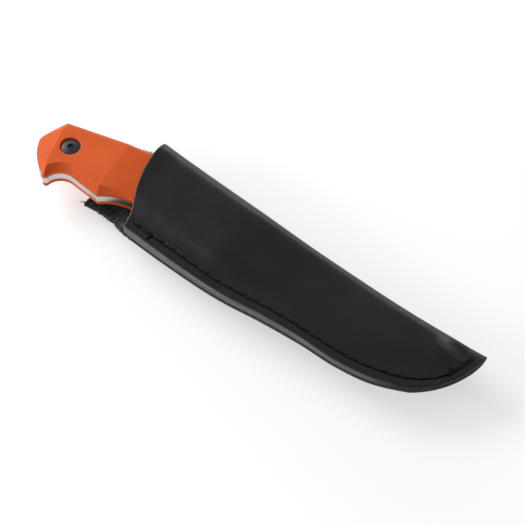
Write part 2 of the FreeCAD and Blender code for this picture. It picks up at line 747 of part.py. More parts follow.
def loop_side(offset):
    """Side view of one face of the strap, from the rear end to the front end."""
    top = BACK_OUTER - LOOP_SEAT - offset
    low = top - LOOP_GAP
    rear = LOOP_REAR_X + LOOP_PAD
    front = LOOP_FRONT_X - LOOP_PAD
    down = []
    up = []
    for i in range(LOOP_RAMP_STEPS + 1):
        share = i / LOOP_RAMP_STEPS
        z = top - LOOP_GAP * smooth(share)
        down.append(V(rear + LOOP_RAMP * share, 0, z))
        up.insert(0, V(front - LOOP_RAMP * share, 0, z))
    ramp_down = Part.BSplineCurve()
    ramp_down.interpolate(down)
    ramp_up = Part.BSplineCurve()
    ramp_up.interpolate(up)
    return [
        Part.makeLine(V(LOOP_REAR_X, 0, top), V(rear, 0, top)),
        ramp_down.toShape(),
        Part.makeLine(V(rear + LOOP_RAMP, 0, low), V(front - LOOP_RAMP, 0, low)),
        ramp_up.toShape(),
        Part.makeLine(V(front, 0, top), V(LOOP_FRONT_X, 0, top)),
    ]


def belt_loop():
    inner = loop_side(0.0)
    outer = loop_side(LEATHER)
    top = BACK_OUTER - LOOP_SEAT
    ends = [
        Part.makeLine(V(LOOP_REAR_X, 0, top), V(LOOP_REAR_X, 0, top - LEATHER)),
        Part.makeLine(V(LOOP_FRONT_X, 0, top), V(LOOP_FRONT_X, 0, top - LEATHER)),
    ]
    wire = Part.Wire(Part.__sortEdges__(inner + outer + ends))
    face = Part.Face(wire)
    face.translate(V(0, LOOP_Y - LOOP_WIDTH / 2, 0))
    return face.extrude(V(0, LOOP_WIDTH, 0))


# ---- assembly ------------------------------------------------------------------------------

def build():
    strap_holes = loop_leg_holes()
    seam_holes_cut = seam_leg_holes()
    leather = sheath_leather().cut(seam_holes_cut).cut(strap_holes).cut(loop_grooves())
    return {
        "knife_blade": knife_blade(),
        "handle_scale_front": handle_scale(1),
        "handle_scale_back": handle_scale(-1),
        "rear_handle_screw": binding_screw(REAR_SCREW, CREST),
        "rear_barrel_nut": barrel_nut(REAR_SCREW, CREST),
        "front_handle_screw": binding_screw(FRONT_SCREW, FRONT_FLAT),
        "front_barrel_nut": barrel_nut(FRONT_SCREW, FRONT_FLAT),
        "sheath_leather": leather,
        "sheath_welt": welt_strip().cut(seam_holes_cut),
        "seam_thread_front": Part.makeCompound(seam_stitches(1)),
        "seam_thread_back": Part.makeCompound(seam_stitches(-1)),
        "belt_loop": belt_loop().cut(strap_holes),
        "loop_thread_outside": Part.makeCompound(loop_stitches(True)),
        "loop_thread_inside": Part.makeCompound(loop_stitches(False)),
    }


def footprint_origin(parts):
    """Middle of the footprint at the height of the lowest point."""
    box = Part.makeCompound(list(parts.values())).optimalBoundingBox(False, False)
    return V((box.XMin + box.XMax) / 2, (box.YMin + box.YMax) / 2, box.ZMin)


def main():
    parts = build()
    origin = footprint_origin(parts)
    print("origin moved by", [round(v, 4) for v in origin])
    os.makedirs("parts", exist_ok=True)
    for name, shape in parts.items():
        shape.translate(-origin)
        shape.exportStep(f"parts/{name}.step")
        print(name, len(shape.Solids), shape.isValid(), round(shape.Volume, 1))


main()
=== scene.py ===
import math

import bpy
import numpy as np
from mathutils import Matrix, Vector, noise


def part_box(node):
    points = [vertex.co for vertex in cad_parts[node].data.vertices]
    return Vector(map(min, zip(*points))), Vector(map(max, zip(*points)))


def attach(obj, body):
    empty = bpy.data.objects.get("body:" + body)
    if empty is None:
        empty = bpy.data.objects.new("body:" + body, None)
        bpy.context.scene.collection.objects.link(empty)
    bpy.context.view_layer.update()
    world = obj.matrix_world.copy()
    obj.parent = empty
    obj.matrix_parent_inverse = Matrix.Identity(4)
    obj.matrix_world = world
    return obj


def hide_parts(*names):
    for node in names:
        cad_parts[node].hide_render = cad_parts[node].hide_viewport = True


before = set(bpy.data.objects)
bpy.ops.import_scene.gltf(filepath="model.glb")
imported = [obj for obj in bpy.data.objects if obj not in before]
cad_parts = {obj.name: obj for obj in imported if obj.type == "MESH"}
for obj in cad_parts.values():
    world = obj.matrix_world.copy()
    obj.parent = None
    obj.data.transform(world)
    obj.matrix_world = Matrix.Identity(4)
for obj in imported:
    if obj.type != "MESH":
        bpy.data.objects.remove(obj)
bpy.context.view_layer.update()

# Lengths below are millimetres in the drawing frame of the part: X along the fold from the
# butt, Y towards the fold, Z = 0 at the middle of the steel. place() turns them into metres
# in the row frame, whose position is read from the blade's box.
MM = 0.001
BUTT_X = -114.308
SPINE_Y = 15.2
blade_low, blade_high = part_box("knife_blade")
ORIGIN = np.array([
    blade_low.x / MM - BUTT_X,
    blade_high.y / MM - SPINE_Y,
    (blade_low.z + blade_high.z) / 2 / MM,
])

LEATHER = 2.3
POUCH_HALF = 4.85               # inside half height of the pouch over the handle
BLADE_HALF = 2.15               # and over the blade
TOE_HALF = 0.3
FRONT_DROP_X = (-18.0, 20.0)    # the display wall comes down from handle to blade here
BACK_DROP_X = (18.0, 52.0)      # the back wall does the same here
TOE_PINCH_X = (84.0, 94.0)      # both close up in front of the point
MOUTH_FLARE = 0.85              # the display wall opens by this much at the mouth
MOUTH_FLARE_X = (-58.0, -72.0)
TONGUE_DROP = 2.2               # the tongue leans away from the handle by this much
TONGUE_DROP_X = (-58.0, -80.0)
TONGUE_EDGE_DROP = 5.2          # and its free lower edge hangs this much further
TONGUE_EDGE_X = (-57.0, -72.0)
CLIMB_HANDLE = 8.0              # width over which a wall climbs from the seam to its face
CLIMB_BLADE = 14.0
CLIMB_LEAST = 2.0
CLIMB_HOLD = 0.33               # share of the climb that stays level at each end
FACE_LEAST = 1.0                # level width always left between climb and fold
FOLD_DEPTH_HANDLE = 6.0         # depth of the rounded fold, inside
FOLD_DEPTH_BLADE = 2.6
FOLD_DEPTH_X = (-20.0, 25.0)
OUTER_FOLD_DEPTH = 9.8          # and outside, with the shares of its control arms
OUTER_FOLD_ARMS = (0.74, 0.60)
QUARTER_ELLIPSE = 0.5523
FAR_Y = -36.0                   # the walls are drawn on past the seam to here, then trimmed
FOLD_LOW_X = 45.0               # the fold runs in a shallow bow, lowest here
FOLD_LOW_Y = 18.3
FOLD_RISE_MOUTH = 2.2
FOLD_RISE_TOE = 2.7
FOLD_RUN_MOUTH = 114.0
FOLD_RUN_TOE = 55.0
WELT_HALF_MOUTH = 1.6           # half thickness of the welt at WELT_MOUTH_X
WELT_MOUTH_X = -50.0
WELT_TAPER = 1.4 / 150.0
WELT_WIDTH = 5.8
BAND_X = (-8.0, 32.0)           # the stitched band narrows between these
BAND_HANDLE_Y = -18.0
BAND_BLADE_Y = -14.0
BAND_TURN_X = 40.0              # and turns up round the belly from here
BAND_TURN_RUN = 52.0
BAND_TURN_RISE = 24.0
SEAM_CORNER = (-56.0, -24.3)
SEAM_EDGE = [SEAM_CORNER, (-30.0, -25.1), (-3.0, -24.5), (16.0, -22.1), (36.0, -20.4),
             (54.0, -19.8), (70.0, -17.0), (84.0, -10.9)]
TOE_MID = (95.3, 2.2)
TOE = (100.3, 22.5)
LAST_COLUMN = (99.6, 19.3)      # where the columns of the shell stop on the arc of the toe
WELT_END = (99.2, 16.0)
TONGUE_X = -82.2
TONGUE_LOW_Y = -20.7
TONGUE_EDGE = [(TONGUE_X, TONGUE_LOW_Y), (-73.0, -19.8), (-64.5, -21.2), (-58.9, -23.7), SEAM_CORNER]
TONGUE_TOP = [(-82.2, 9.5), (-76.0, 14.0), (-69.4, 21.0)]
MOUTH_LINE = [(-24.3, -56.0), (-16.6, -58.3), (-4.8, -64.2), (7.0, -67.9), (21.0, -69.4)]
MOUTH_APEX_X = -69.35
STITCH_LINE = [(-54.0, -20.2), (-30.0, -20.25), (-6.0, -20.3), (10.0, -18.3), (26.0, -16.5),
               (45.0, -15.9), (60.0, -14.5), (72.0, -11.5), (82.0, -7.2), (90.0, -0.3),
               (94.6, 8.4), (96.3, 15.2)]
FIRST_STITCH = 4.3
DOUBLED = 0.42                  # half distance between the two threads of a doubled stitch
# The loose tail and the knot, as steps across, up the face and off the leather from a hole.
TAIL = [(0.0, 0.0, -0.6), (-0.1, -0.5, 0.25), (-0.3, -1.6, 0.5), (-0.75, -2.9, 0.35)]
KNOT = [(0.0, 0.0, -0.5), (-0.6, 0.8, 0.5), (0.5, 1.3, 0.75), (0.6, 0.4, 0.9),
        (-0.6, 0.5, 1.0), (-0.7, 1.8, 0.8), (-0.6, 3.2, 0.45)]
EVEN_STITCHES = 26
LOOP_PITCH = 6.25
THREAD_RADIUS = 0.36
LOOP_WIDTH = 20.0
LOOP_Y = 1.0
LOOP_GAP = 5.0
LOOP_REAR_X = -56.0
LOOP_FRONT_X = 14.0
LOOP_PAD = 11.0
LOOP_RAMP = 8.0
LOOP_ROWS = (3.0, 8.0)
LOOP_STITCHES = 3
LOOP_TOP = -(POUCH_HALF + LEATHER) - 0.05
SCUFF_AND_HIGHLIGHT_AT = (86.6, 13.4, 4.4)    # the spot over the knife's point: real scuffs plus a painted highlight
TOE_SHADE_X = (64.0, 80.0)            # painted shade: the grey edge goes over to black between these
VIEW_AZIMUTH = 38.55
VIEW_ELEVATION = 57.5
CAMERA_DISTANCE = 0.798         # metres
LENS = 130.285714              # millimetres, on a sensor 36 wide
FLOOR_Z = -0.0003               # metres, just under the strap so that the faces don't coincide


def place(points):
    return (np.asarray(points, float).reshape(-1, 3) + ORIGIN) * MM


def smooth(t):
    t = np.clip(t, 0.0, 1.0)
    return t * t * (3 - 2 * t)


def ramp(x, x0, x1, a, b):
    return a + (b - a) * smooth((x - x0) / (x1 - x0))


def through(points, x):
    """Smooth curve through points, which rise in their first coordinate."""
    px = np.array([p[0] for p in points], float)
    py = np.array([p[1] for p in points], float)
    step = np.diff(px)
    slope = np.diff(py) / step
    tangent = np.empty(len(px))
    tangent[1:-1] = (slope[:-1] * step[1:] + slope[1:] * step[:-1]) / (step[1:] + step[:-1])
    tangent[0] = 1.5 * slope[0] - 0.5 * tangent[1]
    tangent[-1] = 1.5 * slope[-1] - 0.5 * tangent[-2]
    x = np.asarray(x, float)
    i = np.clip(np.searchsorted(px, x) - 1, 0, len(px) - 2)
    h = step[i]
    t = np.clip((x - px[i]) / h, 0.0, 1.0)
    t2 = t * t
    t3 = t2 * t
    return ((2 * t3 - 3 * t2 + 1) * py[i] + (t3 - 2 * t2 + t) * h * tangent[i]
            + (-2 * t3 + 3 * t2) * py[i + 1] + (t3 - t2) * h * tangent[i + 1])


def circle(p, q, r):
    """Centre and radius of the circle through three points."""
    a = np.array([[q[0] - p[0], q[1] - p[1]], [r[0] - p[0], r[1] - p[1]]], float)
    b = 0.5 * np.array([q[0] ** 2 - p[0] ** 2 + q[1] ** 2 - p[1] ** 2,
                        r[0] ** 2 - p[0] ** 2 + r[1] ** 2 - p[1] ** 2])
    centre = np.linalg.solve(a, b)
    return centre, math.hypot(p[0] - centre[0], p[1] - centre[1])


TOE_CENTRE, TOE_RADIUS = circle(SEAM_EDGE[-1], TOE_MID, TOE)


def seam_y(x):
    """The stitched edge of the sheath, and the lower edge of the tongue behind it."""
    x = np.asarray(x, float)
    reach = np.clip(x - TOE_CENTRE[0], -TOE_RADIUS, TOE_RADIUS)
    toe = TOE_CENTRE[1] - np.sqrt(TOE_RADIUS ** 2 - reach ** 2)
    y = np.where(x > SEAM_EDGE[-1][0], toe, through(SEAM_EDGE, x))
    return np.where(x < SEAM_CORNER[0], through(TONGUE_EDGE, x), y)


def fold_y(x):
    away = np.abs(x - FOLD_LOW_X)
    rise = np.where(x < FOLD_LOW_X, FOLD_RISE_MOUTH * (away / FOLD_RUN_MOUTH) ** 2,
                    FOLD_RISE_TOE * (away / FOLD_RUN_TOE) ** 2)
    return FOLD_LOW_Y + rise


def welt_half(x):
    return WELT_HALF_MOUTH - (x - WELT_MOUTH_X) * WELT_TAPER


def band_y(x):
    """Inner edge of the stitched band, where the walls part."""
    u = np.clip((x - BAND_TURN_X) / BAND_TURN_RUN, 0.0, 1.0)
    turn = BAND_TURN_RISE * (1 - np.sqrt(1 - u * u))
    return ramp(x, *BAND_X, BAND_HANDLE_Y, BAND_BLADE_Y) + turn


def tongue_drop(x):
    """How far the free lower edge of the tongue hangs below the seam."""
    return ramp(x, *TONGUE_EDGE_X, 0.0, TONGUE_EDGE_DROP)


def wall_half(x, side):
    """Inside half height of the display wall (side 1) or the back wall (side -1)."""
    fall = POUCH_HALF - BLADE_HALF
    if side > 0:
        half = POUCH_HALF + ramp(x, *MOUTH_FLARE_X, 0.0, MOUTH_FLARE) - ramp(x, *FRONT_DROP_X, 0.0, fall)
    else:
        half = POUCH_HALF + ramp(x, *TONGUE_DROP_X, 0.0, TONGUE_DROP) - ramp(x, *BACK_DROP_X, 0.0, fall)
    return half - ramp(x, *TOE_PINCH_X, 0.0, BLADE_HALF - TOE_HALF)


def bezier(p0, p1, p2, p3, count):
    t = np.linspace(0.0, 1.0, count)[None, :]
    return ((1 - t) ** 3 * p0[:, None] + 3 * t * (1 - t) ** 2 * p1[:, None]
            + 3 * t * t * (1 - t) * p2[:, None] + t ** 3 * p3[:, None])


def wall_profile(x, side, extra):
    """Fine cross-section of a wall at each x, from past the stitched edge to the fold.

    extra is the height off the inside face: 0 for the inner skin, LEATHER for the outer."""
    low = welt_half(x) + extra
    if side < 0:
        low = low + tongue_drop(x)
    high = wall_half(x, side) + extra
    start = band_y(x)
    # outside, the leather turns into the fold gradually; inside it hugs the knife
    if extra:
        depth = np.full_like(x, OUTER_FOLD_DEPTH)
        along, across = OUTER_FOLD_ARMS
    else:
        depth = ramp(x, *FOLD_DEPTH_X, FOLD_DEPTH_HANDLE, FOLD_DEPTH_BLADE)
        along, across = QUARTER_ELLIPSE, QUARTER_ELLIPSE
    apex = fold_y(x) - LEATHER + extra
    crown = apex - depth
    drop_x = FRONT_DROP_X if side > 0 else BACK_DROP_X
    climb = ramp(x, *drop_x, CLIMB_HANDLE, CLIMB_BLADE)
    climb = np.minimum(climb, np.maximum(CLIMB_LEAST, crown - start - FACE_LEAST))
    level = start + climb
    hold = climb * CLIMB_HOLD
    far = np.full_like(x, FAR_Y)
    zero = np.zeros_like(x)
    t = np.linspace(0.0, 1.0, 24)[None, :]
    y = [far[:, None] + (start - far)[:, None] * t,
         bezier(start, start + hold, level - hold, level, 24),
         level[:, None] + (crown - level)[:, None] * t,
         bezier(crown, crown + depth * along, apex, apex, 32)]
    z = [low[:, None] + 0 * t,
         bezier(low, low, high, high, 24),
         high[:, None] + 0 * t,
         bezier(high, high, high * across, zero, 32)]
    return np.concatenate(y, 1), np.concatenate(z, 1) * side


SEAM_ROWS = 22                  # rows of the mesh over the stitched zone
FACE_ROWS = 42                  # and over the rest of a wall
SEAM_SHARE = SEAM_ROWS / (SEAM_ROWS + FACE_ROWS)
SEAM_ZONE = 9.6                 # width of the stitched zone
SEAM_ZONE_MOST = 0.4            # and its largest share of a short wall


def on_wall(x, share, side, extra, top=None):
    """Points of a wall: x and share (0 at the stitched edge, 1 at the fold or top) per point."""
    ys, zs = wall_profile(x, side, extra)
    length = np.concatenate([np.zeros((len(x), 1)),
                             np.cumsum(np.hypot(np.diff(ys, axis=1), np.diff(zs, axis=1)), 1)], 1)
    edge = seam_y(x)
    out_y = np.empty(len(x))
    out_z = np.empty(len(x))
    for n in range(len(x)):
        row_y = np.maximum.accumulate(ys[n])
        begin = np.interp(min(edge[n], row_y[-1] - 0.05), row_y, length[n])
        end = length[n][-1]
        if top is not None and top[n] < row_y[-1]:
            end = np.interp(top[n], row_y, length[n])
        span = max(end - begin, 0.02)
        zone = min(SEAM_ZONE, SEAM_ZONE_MOST * span)
        s = share[n]
        at = begin + (zone * s / SEAM_SHARE if s < SEAM_SHARE
                      else zone + (span - zone) * (s - SEAM_SHARE) / (1 - SEAM_SHARE))
        out_y[n] = np.interp(at, length[n], ys[n])
        out_z[n] = np.interp(at, length[n], zs[n])
    return out_y, out_z


def toe_angle(point):
    return math.atan2(point[0] - TOE_CENTRE[0], TOE_CENTRE[1] - point[1])


def toe_arc(end, count):
    """x of evenly spread points on the arc of the toe, from where it begins to end."""
    angles = np.linspace(toe_angle(SEAM_EDGE[-1]), toe_angle(end), count)
    return TOE_CENTRE[0] + TOE_RADIUS * np.sin(angles)


def stations():
    """x of the columns from the mouth to the toe, closer together where the edge turns up."""
    straight = np.arange(MOUTH_APEX_X, SEAM_EDGE[-1][0], 0.85)
    return np.concatenate([straight, toe_arc(LAST_COLUMN, 46)])


def seam_points():
    """Centres of the holes of the seam."""
    xs = np.linspace(STITCH_LINE[0][0], STITCH_LINE[-1][0], 4000)
    ys = through(STITCH_LINE, xs)
    run = np.concatenate([[0.0], np.cumsum(np.hypot(np.diff(xs), np.diff(ys)))])
    pitch = (run[-1] - FIRST_STITCH) / EVEN_STITCHES
    at = [0.0] + [FIRST_STITCH + pitch * i for i in range(EVEN_STITCHES + 1)]
    return np.array([[np.interp(a, run, xs), np.interp(a, run, ys)] for a in at])


HOLES = seam_points()


def seam_dent(x, y):
    """How far the thread has drawn the leather in at each point."""
    near_line = np.full(len(x), 1e9)
    near_hole = np.full(len(x), 1e9)
    p = np.stack([x, y], 1)
    for a, b in zip(HOLES[:-1], HOLES[1:]):
        d = b - a
        t = np.clip(((p - a) @ d) / (d @ d), 0.0, 1.0)
        near_line = np.minimum(near_line, np.hypot(*(p - a - t[:, None] * d).T))
    for h in HOLES:
        near_hole = np.minimum(near_hole, np.hypot(*(p - h).T))
    return 0.26 * np.exp(-(near_line / 0.8) ** 2) + 0.3 * np.exp(-(near_hole / 0.85) ** 2)


def ripple(x, y, z, size, seed):
    return np.array([noise.noise(Vector((a / size + seed, b / size, c / size)))
                     for a, b, c in zip(x, y, z)])


# ---- solid sheets with rounded edges ------------------------------------------------------

def sheet_mesh(name, outer, inner, faces, zone_of, zones, skin_slots):
    """Closed mesh of a sheet: outer and inner skins of the same faces, joined by a rounded rim.

    zone_of(a, b) names the rim zone of a boundary edge; zones gives, for each, the material
    slot and the edge radius at the outer and inner skin. skin_slots are those of the skins."""
    outer = np.array(outer, float)
    inner = np.array(inner, float)
    count = len(outer)
    directed = {}
    for f in faces:
        for a, b in zip(f, f[1:] + f[:1]):
            directed[(a, b)] = f
    rim = [(a, b) for (a, b) in directed if (b, a) not in directed]
    inward = {}
    zone_at = {}
    for a, b in rim:
        f = directed[(a, b)]
        for v in (a, b):
            inward.setdefault(v, []).append(np.mean(outer[list(f)], 0) - outer[v])
            zone_at.setdefault(v, []).append(zone_of(a, b))
    tangent = {}
    for a, b in rim:
        d = outer[b] - outer[a]
        for v in (a, b):
            tangent[v] = tangent.get(v, 0.0) + d
    verts = [*outer, *inner]
    rows = {}
    for v, hints in inward.items():
        t = tangent[v] / max(np.linalg.norm(tangent[v]), 1e-9)
        g = np.mean(hints, 0)
        g = g - t * (g @ t)
        g /= max(np.linalg.norm(g), 1e-9)
        down = inner[v] - outer[v]
        thick = max(np.linalg.norm(down), 1e-6)
        down = down / thick
        slot, r_out, r_in = zones[zone_at[v][0]]
        r_out = min(r_out, 0.4 * thick)
        r_in = min(r_in, 0.4 * thick)
        top = outer[v].copy()
        low = inner[v].copy()
        ring = [
            top + g * (0.3 * r_out) + down * (0.3 * r_out),
            top + down * r_out,
            (top + low) / 2 - g * (0.05 * thick),
            low - down * r_in,
            low + g * (0.3 * r_in) - down * (0.3 * r_in),
        ]
        verts[v] = top + g * r_out
        verts[count + v] = low + g * r_in
        start = len(verts)
        verts.extend(ring)
        rows[v] = [v] + list(range(start, start + len(ring))) + [count + v]
    polys = [tuple(f) for f in faces]
    slots = [skin_slots[0]] * len(faces)
    polys += [tuple(count + v for v in reversed(f)) for f in faces]
    slots += [skin_slots[1]] * len(faces)
    for a, b in rim:
        for k in range(len(rows[a]) - 1):
            polys.append((rows[b][k], rows[a][k], rows[a][k + 1], rows[b][k + 1]))
            slots.append(zones[zone_of(a, b)][0])
    return add_mesh(name, np.array(verts), polys, slots)


def add_mesh(name, verts, polys, slots=None):
    mesh = bpy.data.meshes.new(name)
    mesh.from_pydata([tuple(v) for v in place(verts)], [], polys)
    if slots is not None:
        mesh.polygons.foreach_set("material_index", slots)
    mesh.polygons.foreach_set("use_smooth", [True] * len(polys))
    mesh.update()
    piece = bpy.data.objects.new(name, mesh)
    bpy.context.scene.collection.objects.link(piece)
    return piece


# ---- leather of the sheath ---------------------------------------------------------------

def leather_shell():
    rows = SEAM_ROWS + FACE_ROWS
    share = np.linspace(0.0, 1.0, rows + 1)
    common = stations()
    tongue = np.arange(TONGUE_X, MOUTH_APEX_X - 0.3, 0.6)
    back_x = np.concatenate([tongue, common])
    first = len(tongue)

    def front_grid(extra):
        x0 = np.repeat(common, rows + 1)
        s = np.tile(share, len(common))
        pull = 1 - smooth((x0 - MOUTH_APEX_X) / 34.0)
        x = x0.copy()
        for _ in range(4):
            y, z = on_wall(x, s, 1, extra)
            x = x0 + pull * (through(MOUTH_LINE, y) - MOUTH_APEX_X)
        y, z = on_wall(x, s, 1, extra)
        return x, y, z

    def back_grid(extra):
        x = np.repeat(back_x, rows + 1)
        s = np.tile(share, len(back_x))
        top = np.where(x < MOUTH_APEX_X, np.interp(x, *np.array(TONGUE_TOP).T), 99.0)
        y, z = on_wall(x, s, -1, extra, top)
        return x, y, z

    skins = []
    for extra in (LEATHER, 0.0):
        fx, fy, fz = front_grid(extra)
        bx, by, bz = back_grid(extra)
        apex_f = np.arange(len(common)) * (rows + 1) + rows
        apex_b = (np.arange(len(common)) + first) * (rows + 1) + rows
        fx[apex_f] = bx[apex_b]
        fy[apex_f] = by[apex_b]
        fz[apex_f] = bz[apex_b]
        if extra:
            fz = fz - seam_dent(fx, fy)
            bz = bz + seam_dent(bx, by)
            calm = smooth((fy - seam_y(fx)) / 10.0) * smooth((fold_y(fx) - fy) / 6.0)
            fz = fz + calm * (0.22 * ripple(fx, fy, fz, 24.0, 3.0) + 0.07 * ripple(fx, fy, fz, 7.0, 9.0))
            fz = fz + point_bump(fx, fy)
            calm = smooth((by - seam_y(bx)) / 10.0) * smooth((fold_y(bx) - by) / 6.0)
            quiet = 1 - smooth((1.0 - np.abs(bx + 21.0) / 44.0) * 4.0)
            bz = bz + calm * quiet * 0.2 * ripple(bx, by, bz, 22.0, 5.0)
        rough = smooth((MOUTH_APEX_X + 12.0 - bx) / 6.0)
        edge = np.exp(-((by - seam_y(bx)) / 0.9) ** 2) * (bx < SEAM_CORNER[0] + 3)
        by = by + edge * (0.38 * ripple(bx, by, bz, 1.1, 2.0) + 0.3 * ripple(bx, by, bz, 3.1, 7.0))
        end = np.exp(-((bx - TONGUE_X) / 0.8) ** 2)
        bx = bx + end * 0.5 * ripple(bx, by, bz, 1.0, 4.0) * rough
        skins.append((np.stack([fx, fy, fz], 1), np.stack([bx, by, bz], 1)))
    front_count = len(common) * (rows + 1)

    def front_id(i, j):
        if j == rows:
            return back_id(first + i, j)
        return i * (rows + 1) + j

    def back_id(k, j):
        return front_count + k * (rows + 1) + j

    outer = np.concatenate([skins[0][0], skins[0][1]])
    inner = np.concatenate([skins[1][0], skins[1][1]])
    faces = []
    kind = {}
    for i in range(len(common) - 1):
        for j in range(rows):
            faces.append((front_id(i, j), front_id(i + 1, j), front_id(i + 1, j + 1), front_id(i, j + 1)))
        kind[frozenset((front_id(i, 0), front_id(i + 1, 0)))] = "front_seam"
    for k in range(len(back_x) - 1):
        for j in range(rows):
            faces.append((back_id(k, j), back_id(k, j + 1), back_id(k + 1, j + 1), back_id(k + 1, j)))
        kind[frozenset((back_id(k, 0), back_id(k + 1, 0)))] = "back_seam"
    for j in range(rows):
        kind[frozenset((front_id(0, j), front_id(0, j + 1)))] = "mouth"
    zones = {
        "front_seam": (2, 0.28, 0.04),
        "back_seam": (3, 0.3, 0.2),
        "mouth": (4, 0.42, 0.3),
        "other": (3, 0.25, 0.25),
    }
    # unused copies of the shared fold vertices are dropped by renumbering
    used = sorted({v for f in faces for v in f})
    new = {v: n for n, v in enumerate(used)}
    faces = [tuple(new[v] for v in f) for f in faces]
    kind = {frozenset(new[v] for v in key): value for key, value in kind.items()}
    return sheet_mesh("sheath_leather_shell", outer[used], inner[used], faces,
                      lambda a, b: kind.get(frozenset((a, b)), "other"), zones, (0, 1))


def point_bump(x, y):
    """The knife's point presses the front wall out a little near the toe."""
    return 0.55 * np.exp(-(((x - 84.5) / 5.0) ** 2 + ((y - 13.2) / 2.6) ** 2))


# ---- welt -----------------------------------------------------------------------------------

def seam_path(step):
    """Points and inward normals along the stitched edge, from the mouth corner to the toe."""
    straight = np.linspace(SEAM_CORNER[0], SEAM_EDGE[-1][0], 1500)
    xs = np.concatenate([straight, toe_arc(WELT_END, 400)[1:]])
    ys = seam_y(xs)
    run = np.concatenate([[0.0], np.cumsum(np.hypot(np.diff(xs), np.diff(ys)))])
    at = np.arange(0.0, run[-1], step)
    x = np.interp(at, run, xs)
    y = np.interp(at, run, ys)
    tx = np.gradient(x)
    ty = np.gradient(y)
    size = np.hypot(tx, ty)
    return x, y, -ty / size, tx / size


def welt_piece():
    """Strip between the walls; levels and recess draw its slightly hollow outer face."""
    x, y, nx, ny = seam_path(0.6)
    levels = [-1.0, -0.94, -0.6, -0.2, 0.2, 0.6, 0.94, 1.0]
    recess = [0.22, 0.06, 0.0, 0.02, 0.0, 0.02, 0.0, 0.0]
    verts = []
    polys = []
    ring = len(levels) + 2
    for n in range(len(x)):
        half = welt_half(x[n]) - 0.02
        for level, back in zip(levels, recess):
            wobble = 0.07 * noise.noise(Vector((x[n] * 0.5, level * 1.3, 4.0)))
            depth = 0.08 + back + wobble
            verts.append((x[n] + nx[n] * depth, y[n] + ny[n] * depth, half * level))
        for z in (half, -half):
            verts.append((x[n] + nx[n] * WELT_WIDTH, y[n] + ny[n] * WELT_WIDTH, z))
    for n in range(len(x) - 1):
        for k in range(ring):
            a = n * ring + k
            b = n * ring + (k + 1) % ring
            polys.append((b, a, a + ring, b + ring))
    polys.append(tuple(range(ring)))
    last = (len(x) - 1) * ring
    polys.append(tuple(last + k for k in reversed(range(ring))))
    return add_mesh("sheath_welt_strip", np.array(verts), polys)


# ---- thread ------------------------------------------------------------------------------------

def tube(points, radius, verts, polys, twist=2.3, lobes=3, around=12, taper=False):
    """Adds a twisted thread along points to verts and polys."""
    points = np.asarray(points, float)
    seg = np.linalg.norm(np.diff(points, axis=0), axis=1)
    run = np.concatenate([[0.0], np.cumsum(seg)])
    count = max(4, int(run[-1] / 0.22))
    at = np.linspace(0.0, run[-1], count)
    p = np.stack([np.interp(at, run, points[:, k]) for k in range(3)], 1)
    for _ in range(2):
        p[1:-1] = (p[:-2] + 2 * p[1:-1] + p[2:]) / 4
    start = len(verts)
    t = np.gradient(p, axis=0)
    t /= np.linalg.norm(t, axis=1)[:, None]
    side = np.cross(t[0], (0.31, 0.2, 0.93))
    for n in range(count):
        side = side - t[n] * (side @ t[n])
        side /= np.linalg.norm(side)
        other = np.cross(t[n], side)
        r = radius
        if taper:
            r *= 1.0 - 0.5 * n / count
        for k in range(around):
            a = 2 * math.pi * k / around
            lobe = 1 + 0.13 * math.cos(lobes * (a - 2 * math.pi * at[n] / twist))
            verts.append(p[n] + (side * math.cos(a) + other * math.sin(a)) * r * lobe)
    for n in range(count - 1):
        for k in range(around):
            a = start + n * around + k
            b = start + n * around + (k + 1) % around
            polys.append((a, b, b + around, a + around))
    polys.append(tuple(start + k for k in reversed(range(around))))
    end = start + (count - 1) * around
    polys.append(tuple(end + k for k in range(around)))


def stitch_path(p, q, surface, face, depth=1.0, sink=0.22):
    """A run of thread from hole p to hole q that dives into the leather at both ends."""
    p = np.asarray(p, float)
    q = np.asarray(q, float)
    d = (q - p) / np.linalg.norm(q - p)
    top = surface + THREAD_RADIUS - sink
    shape = [(0.0, -depth), (0.12, -0.35), (0.55, -0.02), (1.4, 0.05)]
    points = [(*(p + d * a), face * (top + h)) for a, h in shape]
    points.append((*((p + q) / 2), face * (top + 0.06)))
    points += [(*(q - d * a), face * (top + h)) for a, h in reversed(shape)]
    return points


def heading(a, b):
    """Unit vector from a to b, and the one square to it."""
    d = (b - a) / np.linalg.norm(b - a)
    return d, np.array([-d[1], d[0]])


def seam_thread(face):
    """The seam on one side: runs between the holes, doubled at both ends."""
    verts = []
    polys = []
    last = len(HOLES) - 1
    for i in range(last):
        a = HOLES[i]
        b = HOLES[i + 1]
        d, n = heading(a, b)
        surface = max(float(welt_half(a[0])), float(welt_half(b[0])), TOE_HALF) + LEATHER - 0.16
        p = a + d * 0.35
        q = b - d * 0.35
        lean = 0.16 * face
        offsets = [(-lean, lean)]
        if i < 2 or i >= last - 2:
            offsets = [(DOUBLED, 0.1 + DOUBLED), (-DOUBLED, 0.1 - DOUBLED)]
        for begin, end in offsets:
            path = stitch_path(p + n * begin, q + n * end, surface, face)
            tube(path, THREAD_RADIUS, verts, polys)
    for i, h in enumerate(HOLES):
        d, n = heading(HOLES[max(i - 1, 0)], HOLES[min(i + 1, last)])
        slant = d * 0.50 - n * 0.95 * face
        top = max(float(welt_half(h[0])), TOE_HALF) + LEATHER - 0.42
        steps = [(-1.15, -0.35), (-0.8, 0.25), (0.1, 0.48), (0.8, 0.25), (1.15, -0.35)]
        cross = [(*(h + slant * along), face * (top + up)) for along, up in steps]
        tube(cross, THREAD_RADIUS * 0.95, verts, polys)
    return verts, polys


